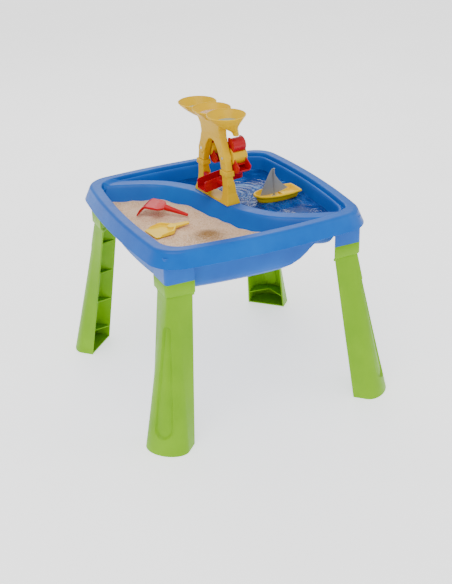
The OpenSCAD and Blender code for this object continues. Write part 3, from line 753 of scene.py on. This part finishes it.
def fix_normals(o):
    bm = bmesh.new()
    bm.from_mesh(o.data)
    bmesh.ops.recalc_face_normals(bm, faces=bm.faces)
    bm.to_mesh(o.data)
    bm.free()
    return o


def box_T(name, u0, u1, v0, v1, z0, z1, mat=None):
    pts = [(u, v, z) for z in (z0, z1) for v in (v0, v1) for u in (u0, u1)]
    f = [(0, 2, 3, 1), (4, 5, 7, 6), (0, 1, 5, 4), (2, 6, 7, 3), (0, 4, 6, 2), (1, 3, 7, 5)]
    return fix_normals(obj_from(name, [T(p) for p in pts], f, mat or M_YEL, smooth=False))


def frame_solid(name):
    o = fix_normals(extrude_v(name, FRAME_OUT, -40, 40))
    w = fix_normals(extrude_v("w", WINDOW, -41, 41))
    s = fix_normals(extrude_u("s", SIDE, -90, 90))
    cut(o, w)
    cut(o, s, op="INTERSECT")
    return o


BOWL = [(7, 1, -54), (7.2, 0.99, -51), (7.6, 0.96, -48), (9, 0.86, -43), (12.5, 0.66, -38), (15.6, 0.53, -34), (19, 0.4, -30), (22.7, 0.3, -26), (26.5, 0.22, -22), (30.3, 0.155, -18), (34, 0.1, -14), (37.8, 0.055, -9.5), (41.5, 0.02, -5), (44.4, 0, -1.5), (45, 0, -0.4), (45, 0, 0.9)]


def bowl(name, k, g, top=0.0, bottom=0.0):
    sv = 34 if k == 0 else 25
    n = 96
    rows = [(r - g, s * sv, z) for r, s, z in BOWL]
    if bottom:
        rows.insert(0, (rows[0][0], rows[0][1], rows[0][2] - bottom))
    if top:
        rows.append((rows[-1][0], rows[-1][1], rows[-1][2] + top))
    v = [(k * 62 - 2 + r * math.cos(2 * math.pi * i / n), -8 + s + r * math.sin(2 * math.pi * i / n), 214 + z) for r, s, z in rows for i in range(n)]
    f = grid(n, len(rows), wrap_u=True)
    f.append(tuple(range(n))[::-1])
    f.append(tuple(range((len(rows) - 1) * n, len(rows) * n)))
    return fix_normals(obj_from(name, [T(p) for p in v], f, M_YEL, smooth=False))


def cyl_v(name, u, z, v0, v1, r, n=64, mat=None):
    pts = [(u + r * math.cos(2 * math.pi * i / n), v, z + r * math.sin(2 * math.pi * i / n)) for v in (v0, v1) for i in range(n)]
    f = [tuple(range(n)), tuple(range(n, 2 * n))[::-1]] + [(i, n + i, n + (i + 1) % n, (i + 1) % n) for i in range(n)]
    return fix_normals(obj_from(name, [T(p) for p in pts], f, mat or M_YEL, smooth=False))


def build_tower():
    base = frame_solid("base")
    cut(base, box_T("c", -100, 100, -60, 60, 79.2, 300))
    collars = [box_T("k%d" % s, 37 if s > 0 else -66, 66 if s > 0 else -37, -15, 7, 67, 79.2) for s in (-1, 1)]
    base = join([base] + collars, "tower_lower_frame")
    organic(base, 0.9, 4)
    base.data.materials.clear()
    base.data.materials.append(M_YEL)
    top = frame_solid("top")
    cut(top, box_T("c", -100, 100, -60, 60, -10, 79.5))
    outer = [bowl("o%d" % k, k, 0) for k in (-1, 0, 1)]
    bosses = [cyl_v("b%d" % s, s * 46, 108, -13.4, 5.6, 12) for s in (-1, 1)]
    top = join([top] + outer + bosses, "top_solid")
    r = top.modifiers.new("r", "REMESH")
    r.mode = "VOXEL"
    r.voxel_size = 0.9 * MM
    apply_mods(top)
    for k in (-1, 0, 1):
        inner = bowl("i%d" % k, k, 2.2, top=4, bottom=4)
        if k < 1:
            cut(inner, bowl("n%d" % k, k + 1, 0))
        cut(top, inner)
    top.name = "tower_funnel_head"
    organic(top, 0.8, 3)
    top.data.materials.clear()
    top.data.materials.append(M_YEL)
    return base, top


# ------------------------------------------------------------------ wheels and chute


def axle_place(s):
    def f(p):
        # local x = u, local y = down, local z = along v
        return T((s * 46 + p[0], p[2], 108 - p[1]))

    return f


def build_hub(s, name):
    pl = axle_place(s)
    prof = [(0, 6.9), (6.6, 6.9), (7.4, 6.6), (18.8, 6.6), (19.6, 6.9), (20, 7.6), (20, 39.2), (19.8, 39.8), (19.2, 40), (17.8, 40), (17.4, 38.4), (0, 38.4)]
    o = lathe(name, prof, 96, M_YEL, pl)
    fix_normals(o)
    return sharp_smooth(o, 40)


def build_cap(s, name):
    pl = axle_place(s)
    prof = [(0, 36), (16.9, 36), (17.2, 39.9), (19.3, 40.05), (19.9, 40.5), (20, 41.2)]
    prof += [(4 + 15.95 * math.cos(a), 41.4 + 5.6 * math.sin(a)) for a in np.linspace(0.06, math.pi / 2, 14)] + [(0, 47)]
    o = lathe(name, prof, 96, M_YEL, pl)
    fix_normals(o)
    return sharp_smooth(o, 40)


def copy_of(nodename, name, mat):
    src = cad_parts[nodename]
    me = src.data.copy()
    me.transform(src.matrix_world)
    o = bpy.data.objects.new(name, me)
    bpy.context.scene.collection.objects.link(o)
    me.materials.clear()
    me.materials.append(mat)
    bm = bmesh.new()
    bm.from_mesh(me)
    bmesh.ops.remove_doubles(bm, verts=bm.verts, dist=1e-6)
    bm.to_mesh(me)
    bm.free()
    return o


def rounded_copy(nodename, name, mat, voxel=0.6, smooth=3):
    o = copy_of(nodename, name, mat)
    organic(o, voxel, smooth)
    o.data.materials.clear()
    o.data.materials.append(mat)
    return o


# ------------------------------------------------------------------ sand and water


def sand_height(x, y):
    z = 421 + 1.6 * np.sin(np.radians(x * 1.7 + 40)) * np.cos(np.radians(y * 1.3)) + 1.0 * np.sin(np.radians(x * 3.1 - y * 2.3))
    z = z + 15 * np.exp(-((x + 98) ** 2 + (y + 132) ** 2) / 2200) - 2 * np.exp(-((x + 215) ** 2 + (y - 190) ** 2) / 3500)
    calm = 1 - 0.8 * np.exp(-((x + 85) ** 2 + (y + 12) ** 2) / 4200)
    # raked ridges and small lumps
    z = z + 1.3 * np.sin((x * 0.8 + y * 0.35) * 0.16 + 1.5 * np.sin(y * 0.03)) * np.exp(-((x + 160) ** 2 + (y - 80) ** 2) / 9000) * calm
    z = z + 0.9 * np.sin((x * 0.3 - y) * 0.11 + 1.7 * np.sin(x * 0.04)) * calm
    g = np.random.default_rng(3)
    for _ in range(60):
        cx, cy, s, a = g.uniform(-240, 150), g.uniform(-240, 220), g.uniform(7, 22), g.uniform(-1.1, 1.3)
        z = z + calm * a * np.exp(-((x - cx) ** 2 + (y - cy) ** 2) / (2 * s * s))
    return z


def region_mesh(name, mat, side, hmax, zfun, step=3.0, thick=8.0, extra=None):
    """A smooth sheet over one basin: concentric rings clipped by the dividing wall."""
    hs = np.concatenate([np.arange(3, hmax, step), [hmax]])
    verts, rows, n = [], 0, None
    for h in hs:
        b, r = family(h)
        xy = outline(h, b, r, ns=70, na=30)
        n = len(xy)
        verts.append(xy)
        rows += 1
    xy = np.vstack(verts)
    z = zfun(xy[:, 0], xy[:, 1])
    d = s_dist(xy) * side
    # where the surface meets the dividing wall's slope
    lim = 17.5 + 0.5 * (455 - z) - 0.5
    V = np.column_stack([xy, z])
    F = grid(n, rows, wrap_u=True)
    c = len(V)
    keep_v = d > lim - 9
    faces = [f for f in F if all(keep_v[i] for i in f)]
    used = sorted({i for f in faces for i in f})
    remap = {i: k for k, i in enumerate(used)}
    V = V[used]
    faces = [tuple(remap[i] for i in f) for f in faces]
    # distance of each kept vertex to the wall; it is not used, and no vertex is moved
    dd = s_dist(V[:, :2]) * side
    a, b_, c_ = (V[i] for i in faces[0][:3])
    if np.cross(b_ - a, c_ - a)[2] < 0:
        faces = [f[::-1] for f in faces]
    o = obj_from(name, V, faces, mat)
    return o, V


def build_sand():
    o, V = region_mesh("sand_bed", M_SAND, 1, 233.4, sand_height, step=2.4)
    # painted shade: mask that darkens the sand round the mound near (-92, -136), with a fainter patch towards (-20,
    # -120)
    at = o.data.attributes.new("painted_mound_shade", "FLOAT", "POINT")
    g = np.random.default_rng(11)
    d2 = (V[:, 0] + 92) ** 2 + (V[:, 1] + 136) ** 2
    val = np.exp(-d2 / 1500) * 0.95
    val = val + 0.12 * np.exp(-((V[:, 0] + 20) ** 2 + (V[:, 1] + 120) ** 2) / 2600)
    at.data.foreach_set("value", np.clip(val, 0, 1).astype(np.float32))
    s = o.modifiers.new("t", "SOLIDIFY")
    s.thickness = 0.012
    s.offset = -1
    apply_mods(o)
    return o


def water_height(x, y):
    z = 424.5 + 0.5 * np.sin(x * 0.06 + 1.3 * np.sin(y * 0.03)) + 0.35 * np.sin(y * 0.09 + x * 0.02)
    for cx, cy, a in ((70, 72, 1.6), (60, -20, 1.6)):
        r = np.hypot(x - cx, y - cy)
        z = z + a * np.cos(r * 0.42) * np.exp(-r / 38)
    return z


def build_water():
    o, V = region_mesh("water_surface", M_WATER, -1, 224.2, water_height, step=2.4)
    s = o.modifiers.new("t", "SOLIDIFY")
    s.thickness = 0.006
    s.offset = -1
    apply_mods(o)
    return o


def funnel_fill(name, k, mat, z_top, dip):
    """What stands in a funnel: follows the bowl outside, with a dished surface."""
    sv, n = (34 if k == 0 else 25), 72
    bz, br, bs = [r[2] for r in BOWL], [r[0] for r in BOWL], [r[1] for r in BOWL]
    rows = [(np.interp(z, bz, br) - 2.5, np.interp(z, bz, bs) * sv, z) for z in np.linspace(z_top - 9, z_top, 7)]
    R, S, _ = rows[-1]
    rows += [(R * f, S, z_top - dip * (1 - f * f)) for f in (0.94, 0.82, 0.66, 0.48, 0.3, 0.14)]
    v = [(k * 62 - 2 + r * math.cos(2 * math.pi * i / n), -8 + s_ + r * math.sin(2 * math.pi * i / n), 214 + z) for r, s_, z in rows for i in range(n)]
    f = grid(n, len(rows), wrap_u=True)
    f.append(tuple(range(n))[::-1])
    f.append(tuple(range((len(rows) - 1) * n, len(rows) * n)))
    return sharp_smooth(fix_normals(obj_from(name, [T(p) for p in v], f, mat)), 60)


# ------------------------------------------------------------------ toys
BX, BY, BZ, BROT = 148.0, -1.0, 423.0, math.radians(3)


def boat_place(p):
    c, s = math.cos(BROT), math.sin(BROT)
    return (BX + p[0] * c - p[1] * s, BY + p[0] * s + p[1] * c, BZ + p[2])


def boat_curve(l, b, n=64):
    """Plan of the hull: flat stern at +x, round bow at -x; anticlockwise."""
    pts = []
    for i in range(n):
        t = i / (n - 1)
        a = math.pi * (0.5 - t)  # not used for the stern
        pts.append(t)
    out = []
    # right side from the stern corner forward, bow, left side back, stern
    def half(t):
        # t 0 at the stern, 1 at the bow tip; returns x, y
        x = l / 2 - l * t
        y = b * math.sqrt(max(1 - max(0.0, (t - 0.38) / 0.62) ** 2.3, 0)) * (0.80 + 0.20 * math.sin(min(t / 0.42, 1) * math.pi / 2))
        return x, y

    ts = [1 - (1 - i / (n - 1)) ** 1.0 for i in range(n)]
    ts = [1 - (1 - t) ** 1.6 if t > 0 else 0 for t in ts]
    side = [half(t) for t in ts]
    out = [(x, y) for x, y in side] + [(x, -y) for x, y in side[::-1][1:]]
    # stern edge, bowed very slightly
    x0, y0 = side[0]
    m = 10
    for i in range(1, m):
        y = -y0 + 2 * y0 * i / m
        out.append((x0 + 1.2 * (1 - (2 * i / m - 1) ** 2), y))
    return out


def build_boat():
    L = 118.0
    rows = [(0.70, 16, 0.0), (0.755, 19.5, 0.8), (0.80, 21.5, 2.6), (0.84, 23.5, 6), (0.87, 25, 10), (0.885, 26, 14.8), (0.90, 26.8, 15.4), (0.965, 29.8, 16.0), (0.992, 31.4, 17.0), (1.0, 31.9, 18.6), (0.995, 31.6, 20.4), (0.98, 30.9, 21.8), (0.955, 29.6, 22.4), (0.93, 28.2, 22.0), (0.912, 27.2, 20.6), (0.90, 26.4, 18), (0.885, 25.4, 13.5), (0.86, 23.8, 11.0), (0.82, 21.8, 10.3)]
    v = []
    n = None
    for k, b, z in rows:
        c = boat_curve(L * k, b)
        n = len(c)
        sheer = [(x, y, z + (1.5 * (max(0, -x) / 59) ** 2 if z > 12 else 0)) for x, y in c]
        v += sheer
    f = grid(n, len(rows), wrap_u=True)
    f.append(tuple(range(n))[::-1])
    f.append(tuple(range((len(rows) - 1) * n, len(rows) * n)))
    hull = fix_normals(obj_from("boat_body", [boat_place(p) for p in v], f, M_TYEL))
    sharp_smooth(hull, 50)
    # raised bench near the stern and the mast's step
    def block(x0, x1, y0, y1, z0, z1, nm):
        pts = [(x, y, z) for z in (z0, z1) for y in (y0, y1) for x in (x0, x1)]
        ff = [(0, 2, 3, 1), (4, 5, 7, 6), (0, 1, 5, 4), (2, 6, 7, 3), (0, 4, 6, 2), (1, 3, 7, 5)]
        o = fix_normals(obj_from(nm, [boat_place(p) for p in pts], ff, M_TYEL, smooth=False))
        bv = o.modifiers.new("b", "BEVEL")
        bv.width = 0.0016
        bv.segments = 3
        return apply_mods(o)

    bench = block(14, 34, -15, 15, 8.5, 14.6, "bench")
    step = lathe("step", [(0, 8.5), (10, 8.5), (9.6, 11.4), (8.6, 12.2), (3.2, 12.3), (0, 12.3)], 48, M_TYEL, lambda p: boat_place((p[0] - 6, p[1], p[2])))
    hull = join([hull, bench, step], "boat_hull_moulding")
    sharp_smooth(hull, 45)
    # sail: two curved panels on one mast
    nz, nx = 46, 30
    front, back = [], []
    for j in range(nz):
        t = j / (nz - 1)
        z = 19 + 60 * t
        fx = 1.6 + 33 * (1 - t) ** 0.85
        bx = 1.6 + 41 * (1 - t) ** 1.55
        low = 3.5 * (1 - t) ** 3
        for i in range(nx):
            s = i / (nx - 1)
            x = -fx * (1 - s) + bx * s
            zz = z + low * (abs(x) / 36) * (1 if x > 0 else -0.9) * (1 - t)
            y = 3 - 8 * math.sin(math.pi * s) * (1 - 0.8 * t)
            front.append((-6 + x, y - 0.6, zz))
            back.append((-6 + x, y + 0.6, zz))
    V = front + back
    N = nz * nx
    F = grid(nx, nz) + grid(nx, nz, base=N, flip=True)
    for j in range(nz - 1):
        a, b = j * nx, (j + 1) * nx
        F.append((a, b, N + b, N + a))
        a, b = j * nx + nx - 1, (j + 1) * nx + nx - 1
        F.append((a, N + a, N + b, b))
    for i in range(nx - 1):
        F.append((i, N + i, N + i + 1, i + 1))
        a = (nz - 1) * nx + i
        F.append((a, a + 1, N + a + 1, N + a))
    sail = fix_normals(obj_from("sail_sheet", [boat_place(p) for p in V], F, M_SAIL))
    mast = lathe("mast", [(0, 3.6), (2.2, 3.6), (2.2, 10), (5.4, 10.4), (5.4, 12.6), (4.8, 13.2), (2.3, 13.6), (2.0, 60), (1.9, 79), (2.6, 79.6), (2.9, 80.6), (2.4, 81.3), (0, 81.4)], 32, M_SAIL, lambda p: boat_place((p[0] - 6, p[1] - 3.6, p[2])))
    sail = join([sail, mast], "boat_sail_sheet")
    sharp_smooth(sail, 40)
    return hull, sail


# ------------------------------------------------------------------ assemble
tray = build_tray()
fix_normals(tray)
sharp_smooth(tray, 38)
finish_piece(tray, "table", "tray_plastic", "tray")

for nm, ang in (("leg_front", 225), ("leg_right", 315), ("leg_back", 45), ("leg_left", 135)):
    o = build_leg(nm, ang)
    fix_normals(o)
    sharp_smooth(o, 38)
    finish_piece(o, "table", "leg_plastic", nm)

base, top = build_tower()
finish_piece(base, "table", "tower_plastic", "tower_base")
finish_piece(top, "table", "tower_plastic", "tower_top")
o = rounded_copy("chute", "chute_moulding", M_RED, 0.6, 3)
finish_piece(o, "table", "red_plastic", "chute")
for s, sd in ((-1, "left"), (1, "right")):
    finish_piece(build_hub(s, "hub_%s_turned" % sd), "wheel_" + sd, "tower_plastic", "hub_" + sd)
    finish_piece(build_cap(s, "hub_cap_%s_dome" % sd), "wheel_" + sd, "tower_plastic", "hub_cap_" + sd)
    o = rounded_copy("scoops_" + sd, "scoops_%s_moulding" % sd, M_RED, 0.55, 3)
    finish_piece(o, "wheel_" + sd, "red_plastic", "scoops_" + sd)
for nm, mt in (("leg_screws", M_STEEL), ("chute_pin", M_YEL), ("axle_left", M_STEEL), ("axle_right", M_STEEL), ("drain_plug", M_PLUG)):
    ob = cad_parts[nm]
    ob.data.materials.clear()
    ob.data.materials.append(mt)

sand = build_sand()
finish_piece(sand, "table", "sand", "sand_fill")
water = build_water()
finish_piece(water, "table", "tray_plastic")

for k, mt, zt, dip, slot in ((-1, M_POUR, -17, 0.6, "tray_plastic"), (0, M_SAND, -14, 4.0, "sand"), (1, M_POUR, -18, 0.6, "tray_plastic")):
    finish_piece(funnel_fill("funnel_contents_%d" % (k + 1), k, mt, zt, dip), "table", slot)

hull, sail = build_boat()
finish_piece(hull, "boat", "toy_yellow", "boat_hull")
finish_piece(sail, "boat", "sail_plastic", "boat_sail")
o = rounded_copy("rake", "rake_moulding", M_TRED, 0.6, 4)
finish_piece(o, "rake", "toy_red", "rake")
o = rounded_copy("shovel", "shovel_moulding", M_TYEL, 0.6, 4)
finish_piece(o, "shovel", "toy_yellow", "shovel")

# ------------------------------------------------------------------ stage
fl = obj_from("floor", [(-9000, -9000, 0), (9000, -9000, 0), (9000, 9000, 0), (-9000, 9000, 0)], [(0, 1, 2, 3)], None, smooth=False)
fm, fnt, fb = new_mat("floor_white")
fv = coords(fnt)
fn_ = noise_tex(fnt, fv, 3.0, 2.0)
fnt.links.new(ramp(fnt, fn_.outputs["Fac"], [(0.3, (0.88, 0.88, 0.88, 1)), (0.7, (0.92, 0.92, 0.92, 1))]), fb.inputs["Base Color"])
fb.inputs["Roughness"].default_value = 0.7
fb.inputs["Emission Color"].default_value = (1, 1, 1, 1)
fb.inputs["Emission Strength"].default_value = 1.1
fl.data.materials.append(fm)

w = bpy.data.worlds.new("studio")
bpy.context.scene.world = w
w.use_nodes = True
w.node_tree.nodes["Background"].inputs["Color"].default_value = (1, 1, 1, 1)
w.node_tree.nodes["Background"].inputs["Strength"].default_value = 0.95


def area(name, loc, target, size, power):
    L = bpy.data.lights.new(name, "AREA")
    L.energy = power
    L.shape = "RECTANGLE"
    L.size, L.size_y = size
    o = bpy.data.objects.new(name, L)
    o.location = loc
    d = Vector(target) - Vector(loc)
    o.rotation_euler = d.to_track_quat("-Z", "Y").to_euler()
    bpy.context.scene.collection.objects.link(o)
    return o


area("key", (-0.9, -1.0, 2.6), (0, 0, 0.4), (1.8, 1.8), 38)
area("fill", (2.2, -1.4, 1.6), (0, 0, 0.4), (1.4, 1.4), 8)
area("back", (0.6, 2.4, 2.2), (0, 0, 0.5), (1.8, 1.2), 26)

# camera
az, el, roll = math.radians(-24.655), math.radians(26.92), math.radians(-1.73)
dist, tx, tz = 4.7354 * 0.55, 0.0088, 0.2073
back = Vector((math.sin(az) * math.cos(el), -math.cos(az) * math.cos(el), math.sin(el)))
right = Vector((math.cos(az), math.sin(az), 0))
up = back.cross(right)
C = Vector((0, 0, tz)) + right * tx + back * dist
r2 = right * math.cos(roll) + up * math.sin(roll)
u2 = -right * math.sin(roll) + up * math.cos(roll)
cam = bpy.data.cameras.new("camera")
cam.sensor_fit = "HORIZONTAL"
cam.sensor_width = 36
cam.lens = 36 * 1063.24 / 452
cam.clip_end = 50
co = bpy.data.objects.new("camera", cam)
m = Matrix(((r2.x, u2.x, back.x, C.x), (r2.y, u2.y, back.y, C.y), (r2.z, u2.z, back.z, C.z), (0, 0, 0, 1)))
co.matrix_world = m
bpy.context.scene.collection.objects.link(co)
bpy.context.scene.camera = co
